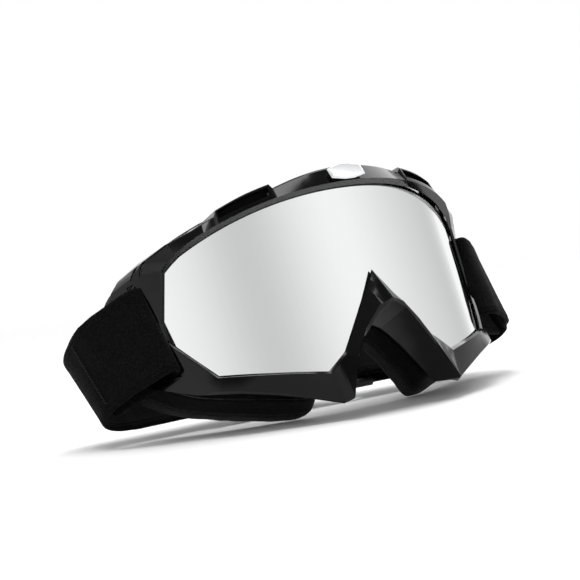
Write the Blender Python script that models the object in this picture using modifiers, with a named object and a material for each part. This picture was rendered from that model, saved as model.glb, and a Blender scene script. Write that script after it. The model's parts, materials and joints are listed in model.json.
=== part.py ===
"""Motocross goggles: gloss outer frame, mirror lens, inner face frame, foams and elastic strap.

Blender 4.5 script. Metres, +Z up, -Y is the front, +X is the wearer's left.
Every shape is written in the goggles' own upright frame in millimetres: the lens is part of an
upright cylinder whose front line is at y = 0. All objects hang on one empty that leans them back
onto the foam and strap, the way the goggles rest on a table, with their lowest point at z = 0.
"""
import math

import bmesh
import bpy
from mathutils import Matrix, Vector

MM = 0.001
LENS_RADIUS = 97.1        # cylinder that the lens is bent to
LENS_TOP = 35.0           # visible lens edge at the centre line
LENS_TOP_DROP = 11.6      # how far the top edge falls from the centre to its corner
LENS_CORNER_U = 79.1      # arc length from the centre line to that corner
LENS_THICKNESS = 1.2
LENS_SETBACK = 1.9        # lens front behind the lip's front edge
LENS_MARGIN = 1.6         # lens hidden behind the lip all round
SHELL_WALL = 1.7          # moulded wall of the outer frame
GAP = 0.4                 # clearance between touching pieces
LEAN = math.radians(16.0)  # how far the goggles lean back at rest
FOAM_CORE = 9.0           # charcoal foam against the flange
FOAM_LINING = 7.0         # softer foam against the face
FLANGE_WALL = 1.8
FOAM_GAP = 1.1            # room for the glue line on the curved flange
STRAP_WIDTH = 39.5
STRAP_THICKNESS = 2.2
FLEX_Y, FLEX_Z = 60.0, -10.0   # axis, along X, that the strap swings about
FLEX_RADIUS = 22.6
SLIDER_X = -30.0          # middle of the slider on the rear band
LEFT_RISE = 5.0           # how much higher the strap bulges on the wearer's left
TACK_WIDTH = 1.4
TACK_LOW, TACK_HIGH = 1.5, 2.1   # a bar tack's under and outer side from the strap's centre line

# Visible lens outline on the right half as (arc length, height), corner by corner.
LENS_SIDE = [(79.1, 23.4), (87.3, 19.0), (93.9, -1.0), (93.6, -9.3), (76.7, -29.7), (32.5, -40.9),
             (22.6, -34.0), (0.0, -3.6)]


def on_lens(u, z, out=0.0):
    """Point at arc length u and height z, out millimetres in front of the lens cylinder."""
    a = u / LENS_RADIUS
    r = LENS_RADIUS + out
    return (r * math.sin(a), LENS_RADIUS - r * math.cos(a), z)


def lens_top(u):
    """Height of the visible lens edge along the brow."""
    return LENS_TOP - LENS_TOP_DROP * (abs(u) / LENS_CORNER_U) ** 2.2


def face_y(x, z):
    """Flange plane: it follows the face, and comes forward beside the nose."""
    low = min(1.0, max(0.0, -z / 45.0))
    return 25.0 - 8.0 * low + 21.5 * (x / 62.0) ** 2


def material(name, colour, roughness, metallic=0.0):
    m = bpy.data.materials.new(name)
    m.use_nodes = True
    shader = m.node_tree.nodes["Principled BSDF"]
    shader.inputs["Base Color"].default_value = (*colour, 1.0)
    shader.inputs["Roughness"].default_value = roughness
    shader.inputs["Metallic"].default_value = metallic
    return m


def add_object(name, bm, mat, collection, origin=(0.0, 0.0, 0.0)):
    """Object from a mesh in millimetres, its origin at the given point of the goggles' frame."""
    bmesh.ops.translate(bm, verts=bm.verts, vec=-Vector(origin))
    bmesh.ops.scale(bm, verts=bm.verts, vec=(MM, MM, MM))
    bmesh.ops.recalc_face_normals(bm, faces=bm.faces)
    mesh = bpy.data.meshes.new(name)
    bm.to_mesh(mesh)
    bm.free()
    ob = bpy.data.objects.new(name, mesh)
    ob.location = Vector(origin) * MM
    ob.parent = rest
    if mat:
        mesh.materials.append(mat)
    collection.objects.link(ob)
    return ob


def mirrored(points):
    return [(-x, y, z) for x, y, z in points]


def ring(sections, closed_profile):
    """Loft round a closed ring of sections, each a list of points."""
    bm = bmesh.new()
    rows = [[bm.verts.new(p) for p in s] for s in sections]
    count = len(rows[0])
    spans = count if closed_profile else count - 1
    for i, row in enumerate(rows):
        after = rows[(i + 1) % len(rows)]
        for j in range(spans):
            k = (j + 1) % count
            bm.faces.new((row[j], row[k], after[k], after[j]))
    return bm


def whole_ring(half):
    """Sections of the +X half, from the brow's centre to the nose's, with their mirror images."""
    return half + [mirrored(s) for s in reversed(half[1:-1])]


def tube(sections):
    """Loft along an open row of closed sections, capped at both ends."""
    bm = bmesh.new()
    rows = [[bm.verts.new(p) for p in s] for s in sections]
    count = len(rows[0])
    for a, b in zip(rows, rows[1:]):
        for j in range(count):
            k = (j + 1) % count
            bm.faces.new((a[j], a[k], b[k], b[j]))
    bm.faces.new(rows[0][::-1])
    bm.faces.new(rows[-1])
    return bm


def slab(corners, depth):
    """Solid from a polygon of points, thickened downwards by depth."""
    top = [Vector(c) for c in corners]
    return tube([[tuple(p) for p in top], [tuple(p - Vector(depth)) for p in top]])


def boolean(ob, cutter, operation="DIFFERENCE"):
    cutter.hide_render = True
    cutter.display_type = "WIRE"
    m = ob.modifiers.new(operation.lower(), "BOOLEAN")
    m.object = cutter
    m.operation = operation
    m.solver = "EXACT"


# ------------------------------------------------------------------ outer frame

def brow_section(u, rise, back, hood=0.0):
    """Brow cross-section: lip, crest, top edge and deck, back to the given rear-rim point."""
    z = lens_top(u)
    top = z + rise
    lean = 0.8 + hood
    return [on_lens(u, z, 0.3), on_lens(u, z + 1.5, 3.9), on_lens(u, top - 0.7, lean),
            on_lens(u, top, lean - 0.9), back]


def frame_sections():
    """Outer frame from the brow's centre round to the nose: lip, crest, edge, bevel, rear."""
    brow = [
        brow_section(0.0, 9.0, (0.0, 22.5, 44.9)),
        brow_section(10.0, 8.7, (10.0, 22.8, 44.7)),
        brow_section(22.0, 7.7, (22.0, 24.4, 44.0)),
        brow_section(32.5, 6.4, (31.5, 26.6, 42.4)),
        brow_section(34.5, 8.4, (33.5, 27.2, 42.0), 0.8),
        brow_section(46.0, 8.3, (44.0, 30.6, 39.4), 0.8),
        brow_section(58.0, 7.7, (53.0, 34.5, 36.6), 0.8),
        brow_section(60.5, 5.9, (55.5, 36.5, 35.9)),
        brow_section(70.0, 5.6, (66.0, 45.0, 33.0)),
    ]
    side = [
        [on_lens(79.1, 23.4, 0.3), on_lens(79.6, 24.6, 2.6), (73.4, 31.0, 28.9), (74.2, 32.4, 29.3),
         (76.0, 54.0, 29.0)],
        [on_lens(83.2, 21.4, 0.3), on_lens(84.6, 22.6, 2.4), (80.4, 37.2, 25.4), (81.8, 38.6, 25.8),
         (86.5, 56.0, 23.2)],
        [on_lens(87.3, 19.0, 0.3), on_lens(89.0, 19.8, 2.2), (84.0, 42.8, 21.4), (86.2, 46.0, 21.0),
         (90.6, 57.6, 18.6)],
        [on_lens(90.6, 9.0, 0.3), on_lens(92.3, 9.4, 2.2), (84.9, 46.6, 10.0), (87.4, 50.2, 10.0),
         (91.2, 58.4, 10.0)],
        [on_lens(93.9, -1.0, 0.3), on_lens(95.7, -0.8, 2.2), (85.2, 47.6, -1.0), (87.4, 51.0, -1.0),
         (91.0, 58.4, -1.0)],
        [on_lens(93.6, -9.3, 0.3), on_lens(95.4, -10.0, 2.2), (84.6, 46.8, -12.0),
         (87.0, 50.2, -12.0), (90.4, 57.0, -12.5)],
        [on_lens(85.2, -19.5, 0.3), on_lens(86.7, -21.0, 2.3), (79.6, 40.4, -25.0),
         (83.0, 44.6, -26.2), (88.0, 51.5, -25.4)],
        [on_lens(76.7, -29.7, 0.3), on_lens(77.4, -31.9, 2.6), (73.4, 29.4, -35.6),
         (75.0, 31.4, -36.2), (77.4, 35.6, -34.6)],
    ]
    cheek = [
        [on_lens(67.9, -31.9, 0.3), on_lens(68.2, -34.3, 3.0), (64.8, 21.2, -39.2),
         (64.6, 22.1, -40.0), (65.2, 25.6, -38.4)],
        [on_lens(56.0, -35.0, 0.3), on_lens(56.0, -37.5, 3.1), (53.2, 14.6, -43.8),
         (53.0, 15.6, -44.6), (53.4, 19.0, -42.6)],
        [on_lens(44.2, -37.9, 0.3), on_lens(44.0, -40.5, 3.2), (41.4, 8.6, -49.0),
         (41.2, 9.8, -49.8), (41.6, 13.0, -47.6)],
        [on_lens(32.5, -40.9, 0.3), on_lens(31.2, -43.8, 3.2), (30.0, 3.8, -54.4),
         (29.6, 5.1, -55.2), (30.2, 9.0, -52.6)],
        [on_lens(27.6, -37.5, 0.3), on_lens(26.2, -40.2, 2.2), (27.4, -1.0, -54.2),
         (27.8, -0.2, -55.0), (26.6, 17.2, -51.6)],
    ]
    nose = [
        [on_lens(22.6, -34.0, 0.3), on_lens(21.0, -35.6, 1.5), (20.4, -1.4, -38.0),
         (21.0, -0.4, -40.0), (21.8, 17.4, -42.0)],
        [on_lens(15.1, -23.9, 0.3), on_lens(14.2, -25.2, 1.2), (13.6, -3.6, -27.4),
         (14.6, -2.4, -30.6), (16.4, 18.0, -32.6)],
        [on_lens(7.5, -13.7, 0.3), on_lens(6.9, -15.0, 1.1), (6.2, -6.6, -19.8),
         (7.0, -6.0, -22.4), (9.6, 18.6, -24.0)],
        [on_lens(0.0, -3.6, 0.3), on_lens(0.0, -5.4, 1.0), (0.0, -8.8, -17.8),
         (0.0, -8.2, -18.9), (0.0, 18.6, -19.6)],
    ]
    return brow + side + cheek + nose


def cut_vents(ob):
    """Openings of the deck, the front scoops and the strap slots."""
    deck = {
        "vent_cutter_centre": ([(-30.5, 5.6), (30.5, 5.6), (31.5, 22.0), (0.0, 19.6), (-31.5, 22.0)],
                               30.0, 60.0),
        "vent_cutter_left": ([(61.5, 29.0), (76.0, 45.0), (74.0, 52.5), (59.5, 36.5)], 20.0, 60.0),
    }
    deck["vent_cutter_right"] = ([(-x, y) for x, y in deck["vent_cutter_left"][0]], 20.0, 60.0)
    for name, (outline, low, high) in deck.items():
        bm = tube([[(x, y, z) for x, y in outline] for z in (low, high)])
        boolean(ob, add_object(name, bm, None, cutters))
    for side in (1, -1):
        label = "left" if side > 0 else "right"
        scoop = [[on_lens(side * u, lens_top(u) + h, out) for out, h in
                  ((4.0, 3.6), (4.0, 6.4), (-7.0, 6.4), (-7.0, 3.6))] for u in (36.5, 44.0, 56.5)]
        boolean(ob, add_object(f"scoop_cutter_{label}", tube(scoop), None, cutters))
        boolean(ob, add_object(f"slot_cutter_{label}", tube(slot_sections(side)), None, cutters))


def slot_sections(side):
    """Slot for the strap beside the lens, a little longer than the strap is wide."""
    top, low = Vector((85.5, 46.6, 18.2)), Vector((80.4, 40.2, -24.8))
    across = Vector((0.60, 0.80, 0.0)) * 2.4
    through = Vector((0.80, -0.60, 0.0)) * 9.0
    out = []
    for p in (top, low):
        out.append([(side * q.x, q.y, q.z) for q in
                    (p - across - through, p + across - through, p + across + through,
                     p - across + through)])
    return out


def make_outer_frame():
    bm = ring(whole_ring(frame_sections()), False)
    bmesh.ops.recalc_face_normals(bm, faces=bm.faces)
    if sum(f.normal.y for f in bm.faces) > 0:
        bmesh.ops.reverse_faces(bm, faces=bm.faces)
    ob = add_open(name="outer_frame", bm=bm, mat=gloss, collection=parts)
    wall = ob.modifiers.new("wall", "SOLIDIFY")
    wall.thickness = SHELL_WALL * MM
    wall.offset = -1.0
    wall.use_even_offset = True
    wall.thickness_clamp = 0.6
    cut_vents(ob)
    return ob


def add_open(name, bm, mat, collection):
    """Object from an open surface whose faces already point outwards."""
    bmesh.ops.scale(bm, verts=bm.verts, vec=(MM, MM, MM))
    mesh = bpy.data.meshes.new(name)
    bm.to_mesh(mesh)
    bm.free()
    ob = bpy.data.objects.new(name, mesh)
    ob.parent = rest
    mesh.materials.append(mat)
    collection.objects.link(ob)
    return ob


# ------------------------------------------------------------------ lens and inner parts

def lens_outline(margin, steps=10):
    """Half outline of the lens from the top centre to the nose notch, grown by margin."""
    pts = [(LENS_CORNER_U * i / steps, lens_top(LENS_CORNER_U * i / steps)) for i in range(steps)]
    pts += LENS_SIDE
    out = []
    for i, (u, z) in enumerate(pts):
        before = pts[i - 1] if i else (-pts[1][0], pts[1][1])
        after = pts[i + 1] if i + 1 < len(pts) else (-pts[-2][0], pts[-2][1])
        d1 = Vector((u - before[0], z - before[1])).normalized()
        d2 = Vector((after[0] - u, after[1] - z)).normalized()
        n = (Vector((-d1.y, d1.x)) + Vector((-d2.y, d2.x))).normalized()
        scale = margin / max(0.5, n.dot(Vector((-d1.y, d1.x))))
        out.append((u + n.x * scale, z + n.y * scale))
    out[0] = (0.0, out[0][1])
    out[-1] = (0.0, out[-1][1])
    return out


def make_lens():
    """Bent sheet: columns of quads between the outline's top and bottom edges."""
    half = lens_outline(LENS_MARGIN)
    columns = sorted({round(p[0], 4) for p in half})

    def edge(points, u):
        for (u0, z0), (u1, z1) in zip(points, points[1:]):
            if min(u0, u1) - 1e-6 <= u <= max(u0, u1) + 1e-6 and abs(u1 - u0) > 1e-9:
                return z0 + (z1 - z0) * (u - u0) / (u1 - u0)
        return points[-1][1]

    widest = max(half, key=lambda p: p[0])
    i = half.index(widest)
    upper, lower = half[:i + 1], half[i:]
    rows = []
    for u in columns[:-1]:
        rows.append((u, edge(upper, u), edge(lower, u)))
    bm = bmesh.new()
    front, back = -LENS_SETBACK, -LENS_SETBACK - LENS_THICKNESS
    spans = [(-u, a, b) for u, a, b in reversed(rows[1:])] + rows
    grid = {}
    for depth in (front, back):
        grid[depth] = [[bm.verts.new(on_lens(u, z, depth)) for z in (a, b)] for u, a, b in spans]
        tip = widest
        grid[depth, 1] = bm.verts.new(on_lens(tip[0], tip[1], depth))
        grid[depth, -1] = bm.verts.new(on_lens(-tip[0], tip[1], depth))
    for depth in (front, back):
        g = grid[depth]
        for p, q in zip(g, g[1:]):
            bm.faces.new((p[0], q[0], q[1], p[1]))
        bm.faces.new((g[0][0], g[0][1], grid[depth, -1]))
        bm.faces.new((g[-1][1], g[-1][0], grid[depth, 1]))
    loop = {d: [grid[d, -1]] + [p[0] for p in grid[d]] + [grid[d, 1]] +
            [p[1] for p in reversed(grid[d])] for d in (front, back)}
    n = len(loop[front])
    for k in range(n):
        m = (k + 1) % n
        bm.faces.new((loop[front][k], loop[front][m], loop[back][m], loop[back][k]))
    return add_object("lens", bm, mirror, parts)


FLANGE = [(0, 43.5), (20, 43.6), (38, 41.2), (52, 36.6), (64, 31.0), (73, 25.5), (80, 18.0),
          (84, 8.5), (85, -3.0), (83.5, -14.0), (80, -23.5), (72, -32.0), (62, -37.5),
          (50, -42.0), (38, -46.0), (30, -46.5), (25.5, -41.0), (19.5, -31.5), (12, -23.0),
          (0, -18.8)]
# Same stations on the lens's rear rim and on the flange's inner edge.
TUNNEL_FRONT = [(0, 31.5), (20, 31.0), (38, 29.3), (54, 26.0), (66, 22.6), (75, 19.0), (82, 15.0),
                (87, 8.0), (89.0, -1.5), (88.0, -8.0), (80.0, -18.0), (73.0, -26.0), (62, -30.0),
                (50, -33.0), (40, -35.5), (33, -36.5), (26.5, -33.0), (20, -24.5), (11, -13.0),
                (0, 0.5)]
HOLE = [(0, 34.0), (19, 34.0), (36, 32.0), (49, 28.0), (59, 23.0), (66, 18.0), (71, 12.0),
        (74, 5.0), (75, -3.0), (74, -11.5), (70.5, -19.0), (64, -25.0), (56, -29.0), (47, -32.0),
        (40, -34.5), (34.5, -34.5), (30, -31.5), (24.5, -24.5), (15, -15.0), (0, -10.5)]


def make_face_frame():
    """Tunnel from the back of the lens to the flange that carries the face foam."""
    half = []
    for (fx, fz), (u, z), (hx, hz) in zip(FLANGE, TUNNEL_FRONT, HOLE):
        inward = Vector((-0.6 * u / 90.0, 0.0, -0.8 if z > 0 else 0.8)).normalized()
        front = Vector(on_lens(u, z, -LENS_SETBACK - LENS_THICKNESS - GAP))
        front_in = front + inward * FLANGE_WALL
        hole_out = Vector((hx, face_y(hx, hz), hz))
        hole_in = hole_out + inward * FLANGE_WALL + Vector((0, FLANGE_WALL, 0))
        rim_front = Vector((fx, face_y(fx, fz), fz))
        rim_back = rim_front + Vector((0, FLANGE_WALL, 0))
        corner = hole_out - inward * 0.6
        half.append([tuple(p) for p in (front, corner, rim_front, rim_back, hole_in, front_in)])
    return add_object("face_frame", ring(whole_ring(half), True), satin, parts)


FOAM_OUTER = [(0, 45.0), (20, 45.2), (38, 43.2), (53, 38.6), (66, 32.8), (75.5, 27.0),
              (82.5, 19.5), (86.5, 9.0), (87.5, -3.0), (86, -15.0), (82, -25.5), (73.5, -35.0),
              (63, -41.5), (51, -46.5), (38, -50.6), (27, -51.4), (22, -44.0), (17, -34.5),
              (11, -26.5), (0, -22.0)]


def foam_ring(name, start, depth, grow, mat):
    """Foam layer on the flange; grow swells its outline, and the layer thickens by the nose."""
    half = []
    for k, ((fx, fz), (ox, oz), (hx, hz)) in enumerate(zip(FLANGE, FOAM_OUTER, HOLE)):
        section = []
        for share, (x, z) in ((0, (fx, fz)), (1, (ox, oz)), (1, (hx, hz)), (0, (hx, hz))):
            t = (start + depth * share) / (FOAM_CORE + FOAM_LINING)
            if (x, z) != (hx, hz):
                s = min(1.0, t * 1.6)
                x, z = fx + (ox - fx) * s * grow, fz + (oz - fz) * s * grow
            else:
                x, z = hx + (0.6 if hx else 0), hz + (0.8 if hz > 0 else -0.8)
            thicker = 1.0 + 0.18 * min(1.0, max(0.0, -hz / 35.0)) * max(0.0, 1.0 - abs(hx) / 70.0)
            y = face_y(x, z) + FLANGE_WALL + FOAM_GAP + (start + depth * share) * thicker
            section.append((x, y, z))
        half.append(section)
    return add_object(name, ring(whole_ring(half), True), mat, parts)


def make_badge():
    """Hexagonal plate on the brow."""
    low, high = Vector((0.0, -4.4, 36.3)), Vector((0.0, -1.5, 43.6))
    up = (high - low).normalized()
    out = Vector((0.0, -up.z, up.y))
    tall = (high - low).length
    outline = [(-8.6, 0.17), (-8.6, 0.78), (-2.2, 1.0), (2.2, 1.0), (8.6, 0.78), (8.6, 0.17),
               (2.2, 0.0), (-2.2, 0.0)]
    sections = []
    for lift in (0.35, 1.35):
        sections.append([tuple(low + up * (t * tall) + Vector((x, 0, 0)) + out * lift)
                         for x, t in outline])
    return add_object("brow_badge", tube(sections), silver, parts)


def make_vent_foams():
    """Filter foam that fills the deck openings from inside."""
    deck = {"vent_foam_centre": [(-29.9, 6.4, 39.6), (29.9, 6.4, 39.6), (30.8, 21.2, 40.6),
                                 (0.0, 18.8, 42.4), (-30.8, 21.2, 40.6)]}
    outer = [(62.2, 30.6, 31.6), (74.9, 45.2, 27.4), (73.4, 50.6, 28.0), (60.7, 36.4, 33.2)]
    deck["vent_foam_left"] = outer
    deck["vent_foam_right"] = mirrored(outer)
    for name, corners in deck.items():
        add_object(name, slab(corners, (0, 0, 3.4)), foam_grey, parts)
    for side in (1, -1):
        label = "left" if side > 0 else "right"
        strip = [[on_lens(side * u, lens_top(u) + h, out) for out, h in
                  ((-0.8, 3.9), (-0.8, 5.7), (-3.8, 5.7), (-3.8, 3.9))] for u in (37.2, 46.5, 55.8)]
        add_object(f"scoop_foam_{label}", tube(strip), foam_grey, parts)


# ------------------------------------------------------------------ strap

# Centre line of the strap on the left side, from inside the slot round the wing and back.
END_PATH = [((100.8, 71.4, -13.6), 22), ((96.2, 66.8, -11.4), 18), ((91.2, 62.6, -9.0), 14),
            ((86.0, 57.4, -6.8), 11), ((82.6, 52.6, -4.8), 9), ((80.6, 47.4, -3.6), 9),
            ((81.4, 43.4, -3.2), 9), ((84.8, 40.9, -3.2), 9), ((89.0, 42.6, -4.0), 10),
            ((93.8, 48.6, -5.8), 13), ((98.8, 55.0, -7.6), 16), ((102.6, 61.0, -9.8), 19)]
SLOT_LEAN = math.tan(math.radians(6.8))   # sideways lean of the slot, top outwards
FULL_LEAN, NO_LEAN = 60.0, 70.0           # the strap stands upright again between these y's
BAND_PATH = [((102.6, 61.0, -9.8), 19), ((104.6, 66.6, -12.0), 23), ((105.2, 72.4, -14.2), 26),
             ((103.8, 78.0, -16.4), 29), ((99.8, 82.6, -18.0), 31), ((93.6, 85.4, -19.0), 32),
             ((85.0, 86.2, -19.4), 32), ((74.0, 85.4, -19.4), 32)]
REAR_Y, REAR_Z, REAR_TILT = 85.4, -19.2, 32


def width_vector(tilt, sideways=0.0):
    a = math.radians(tilt)
    return Vector((sideways, math.sin(a), math.cos(a))).normalized()


def sideways_lean(point):
    """The strap follows the slot's sideways lean near the frame and loses it further back."""
    share = (NO_LEAN - point.y) / (NO_LEAN - FULL_LEAN)
    return math.copysign(SLOT_LEAN * min(1.0, max(0.0, share)), point.x)


def ribbon_sections(path, half_widths=None, thickness=STRAP_THICKNESS):
    """Rectangular sections along (point, tilt) pairs: the strap's width leans back by the tilt.

    half_widths holds a (lower, upper) pair for each point where the strap isn't full width.
    """
    points = [Vector(p) for p, _ in path]
    sections = []
    for i, (p, (_, tilt)) in enumerate(zip(points, path)):
        ahead = points[min(i + 1, len(points) - 1)] - points[max(i - 1, 0)]
        across = width_vector(tilt, sideways_lean(p))
        normal = ahead.normalized().cross(across).normalized() * (thickness / 2)
        low, high = half_widths[i] if half_widths else (STRAP_WIDTH / 2, STRAP_WIDTH / 2)
        bottom, top = p - across * low, p + across * high
        sections.append([tuple(q) for q in (bottom - normal, top - normal, top + normal,
                                            bottom + normal)])
    return sections


def side_path(path, side):
    return [((side * p[0], p[1], p[2]), tilt) for p, tilt in path]


def raised(path):
    """The wearer's left side of the strap: it rises behind the frame and comes down to the rear."""
    out = []
    for (x, y, z), tilt in path:
        share = min(1.0, max(0.0, (y - 61.0) / 11.0)) * min(1.0, max(0.0, (x - 64.0) / 36.0))
        out.append(((x, y, z + LEFT_RISE * share), tilt - 0.8 * LEFT_RISE * share))
    return out


def disc_reach(point, tilt, sign):
    """Half width at which the strap's edge leaves the disc about the swing axis."""
    a = math.radians(tilt)
    dy, dz = point[1] - FLEX_Y, point[2] - FLEX_Z
    along = sign * (dy * math.sin(a) + dz * math.cos(a))
    room = (FLEX_RADIUS - GAP) ** 2 - dy * dy - dz * dz + along * along
    return min(STRAP_WIDTH / 2, math.sqrt(room) - along)


def make_strap_end(side):
    """Sewn end loop: through the slot, round the wing's rear bar, to the flexing stretch."""
    label = "left" if side > 0 else "right"
    path = END_PATH + BAND_PATH[1:3] + [((104.5, 76.4, -15.7), 28)]
    if side > 0:
        path = END_PATH + raised(path[len(END_PATH):])
    bend = len(END_PATH) - 3
    widths = [(STRAP_WIDTH / 2, STRAP_WIDTH / 2)] * bend
    widths += [(disc_reach(p, tilt, -1), disc_reach(p, tilt, 1)) for p, tilt in path[bend:]]
    sections = ribbon_sections(side_path(path, -1), widths)
    if side > 0:
        sections = [mirrored(s) for s in sections]
    return add_object(f"strap_end_{label}", tube(sections), webbing, parts)


def flex_cutter(side):
    """Disc about the strap's swing axis, clear of the moving band."""
    bm = bmesh.new()
    bmesh.ops.create_cone(bm, cap_ends=True, segments=48, radius1=FLEX_RADIUS, radius2=FLEX_RADIUS,
                          depth=40.0)
    bmesh.ops.rotate(bm, verts=bm.verts, cent=(0, 0, 0), matrix=Matrix.Rotation(math.pi / 2, 3, "Y"))
    bmesh.ops.translate(bm, verts=bm.verts, vec=(side * 100.0, FLEX_Y, FLEX_Z))
    label = "left" if side > 0 else "right"
    return add_object(f"flex_cutter_{label}", bm, None, cutters)


def rear_point(x, lift):
    """Point on the rear band's centre line; lift moves it outwards, away from the face."""
    a = math.radians(REAR_TILT)
    return (x, REAR_Y + lift * math.cos(a), REAR_Z - lift * math.sin(a))


def make_bands():
    """Long band from the right slot through the ring and back; short band from the left slot."""
    start = [((105.1, 70.6, -13.5), 25)] + BAND_PATH[2:]
    long_path = side_path(start, -1)
    long_path += [(rear_point(x, 0.0), REAR_TILT) for x in (-64.0, -30.0, 8.0, 14.0)]
    long_path += [(rear_point(17.4, -1.2), REAR_TILT), (rear_point(18.6, -3.4), REAR_TILT),
                  (rear_point(17.4, -5.6), REAR_TILT), (rear_point(14.0, -6.4), REAR_TILT)]
    long_path += [(rear_point(x, -5.6), REAR_TILT) for x in (8.0, -20.0, -52.0)]
    long_band = add_object("strap_long_band", tube(ribbon_sections(long_path)), webbing, parts,
                           (0.0, FLEX_Y, FLEX_Z))
    boolean(long_band, flex_cutter(-1))
    short_path = raised(start)
    short_path += [(rear_point(x, 0.0), REAR_TILT) for x in (64.0, 40.0, 34.0)]
    short_path += [(rear_point(30.6, -1.2), REAR_TILT), (rear_point(29.4, -3.4), REAR_TILT),
                   (rear_point(30.6, -5.6), REAR_TILT), (rear_point(34.0, -6.4), REAR_TILT)]
    short_path += [(rear_point(x, -5.6), REAR_TILT) for x in (40.0, 56.0)]
    short_band = add_object("strap_short_band", tube(ribbon_sections(short_path)), webbing, parts,
                            (0.0, FLEX_Y, FLEX_Z))
    boolean(short_band, flex_cutter(1))


def rear_bar(x0, x1, lift0, lift1, half):
    """Bar or rail of a buckle: a block between two x places, two lifts and plus and minus half."""
    across = width_vector(REAR_TILT)
    rows = []
    for w in half:
        rows.append([tuple(Vector(rear_point(x, lift)) + across * w) for x, lift in
                     ((x0, lift0), (x1, lift0), (x1, lift1), (x0, lift1))])
    return tube(rows)


def join(main, extra):
    for ob in extra:
        boolean(main, ob, "UNION")


def make_buckle(name, x, bars, low, high, mat):
    """Moulded buckle round the band: rails beyond the strap's edges and bars across it."""
    inside = STRAP_WIDTH / 2 + 0.8
    outside = inside + 2.6
    rails = [rear_bar(x + bars[0][0] - 0.3, x + bars[-1][1] + 0.3, low, high,
                      (sign * inside, sign * outside))
             for sign in (-1, 1)]
    main = add_object(name, rails[0], mat, parts, rear_point(x, 0.0))
    pieces = [add_object(f"{name}_rail", rails[1], None, cutters)]
    for k, (a, b, l0, l1) in enumerate(bars):
        bar = rear_bar(x + a, x + b, l0, l1, (-inside - 0.4, inside + 0.4))
        pieces.append(add_object(f"{name}_bar_{k}", bar, None, cutters))
    join(main, pieces)
    return main


def make_hardware():
    make_buckle("strap_ring", 24.0, [(-10.6, -7.8, -4.4, -1.9), (7.8, 10.6, -4.4, -1.9)],
                -4.7, -1.6, hard_plastic)
    make_buckle("strap_slider", SLIDER_X, [(-9.0, -6.0, 1.5, 3.6), (-1.5, 1.5, -3.9, -1.6),
                                           (6.0, 9.0, 1.5, 3.6)], -4.2, 3.9, hard_plastic)


def make_stitching():
    """Bar tacks that close the sewn loops, standing just proud of the strap."""
    half = STRAP_WIDTH * 0.4
    bar = rear_bar(50.0, 50.0 + TACK_WIDTH, TACK_LOW, TACK_HIGH, (-half, half))
    add_object("bar_tack", bar, thread, parts, (0.0, FLEX_Y, FLEX_Z))
    for side in (1, -1):
        before, (here, tilt), after = (raised(BAND_PATH) if side > 0 else BAND_PATH)[:3]
        along = (Vector(after[0]) - Vector(before[0])).normalized() * (TACK_WIDTH / 2)
        across = width_vector(tilt, sideways_lean(Vector(here)))
        outward = across.cross(along).normalized()
        outward *= math.copysign(1.0, outward.x)
        rows = []
        for w in (-half, half):
            middle = Vector(here) + across * w
            rows.append([tuple(middle + along * a + outward * lift) for a, lift in
                         ((-1, TACK_LOW), (1, TACK_LOW), (1, TACK_HIGH), (-1, TACK_HIGH))])
        if side < 0:
            rows = [mirrored(row) for row in rows]
        label = "left" if side > 0 else "right"
        add_object(f"end_tack_{label}", tube(rows), thread, parts)


# ------------------------------------------------------------------ assembly

for old in list(bpy.data.objects):
    bpy.data.objects.remove(old, do_unlink=True)
parts = bpy.data.collections.new("motocross_goggles")
cutters = bpy.data.collections.new("cutters")
bpy.context.scene.collection.children.link(parts)
bpy.context.scene.collection.children.link(cutters)

gloss = material("gloss_black", (0.012, 0.012, 0.013), 0.08)
satin = material("satin_black", (0.02, 0.02, 0.021), 0.3)
mirror = material("mirror_lens", (0.86, 0.87, 0.88), 0.04, 1.0)
silver = material("silver_plate", (0.78, 0.79, 0.80), 0.2, 0.9)
foam_grey = material("filter_foam", (0.05, 0.05, 0.052), 0.95)
foam_core = material("charcoal_foam", (0.02, 0.02, 0.021), 0.95)
foam_soft = material("soft_foam", (0.06, 0.06, 0.062), 0.98)
webbing = material("black_webbing", (0.012, 0.012, 0.012), 0.9)
hard_plastic = material("buckle_plastic", (0.02, 0.02, 0.02), 0.35)
thread = material("black_thread", (0.03, 0.03, 0.03), 0.8)

rest = bpy.data.objects.new("rest_lean", None)
rest.rotation_euler = (-LEAN, 0.0, 0.0)
bpy.context.scene.collection.objects.link(rest)

make_outer_frame()
make_lens()
make_face_frame()
foam_ring("face_foam", 0.0, FOAM_CORE - GAP, 1.0, foam_core)
foam_ring("face_lining", FOAM_CORE, FOAM_LINING, 1.0, foam_soft)
make_badge()
make_vent_foams()
for side in (1, -1):
    make_strap_end(side)
make_bands()
make_hardware()
make_stitching()

# Stand the goggles on z = 0 and centre them on the origin.
bpy.context.view_layer.update()
graph = bpy.context.evaluated_depsgraph_get()
corners = []
for ob in parts.objects:
    shape = ob.evaluated_get(graph)
    corners += [shape.matrix_world @ v.co for v in shape.data.vertices]
low = [min(c[i] for c in corners) for i in range(3)]
high = [max(c[i] for c in corners) for i in range(3)]
rest.location = (-(low[0] + high[0]) / 2, -(low[1] + high[1]) / 2, -low[2])
bpy.context.view_layer.update()
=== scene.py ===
"""Motocross goggles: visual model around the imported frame, with studio and camera.

Shapes are written in the goggles' own upright frame in millimetres, as in the CAD: the lens is part
of an upright cylinder whose front line is at y = 0, -Y is the front and +X the wearer's left. STAND
leans that frame back onto the table and turns it into metres.
"""
import json
import math

import bmesh
import bpy
from mathutils import Matrix, Vector, noise


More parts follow.
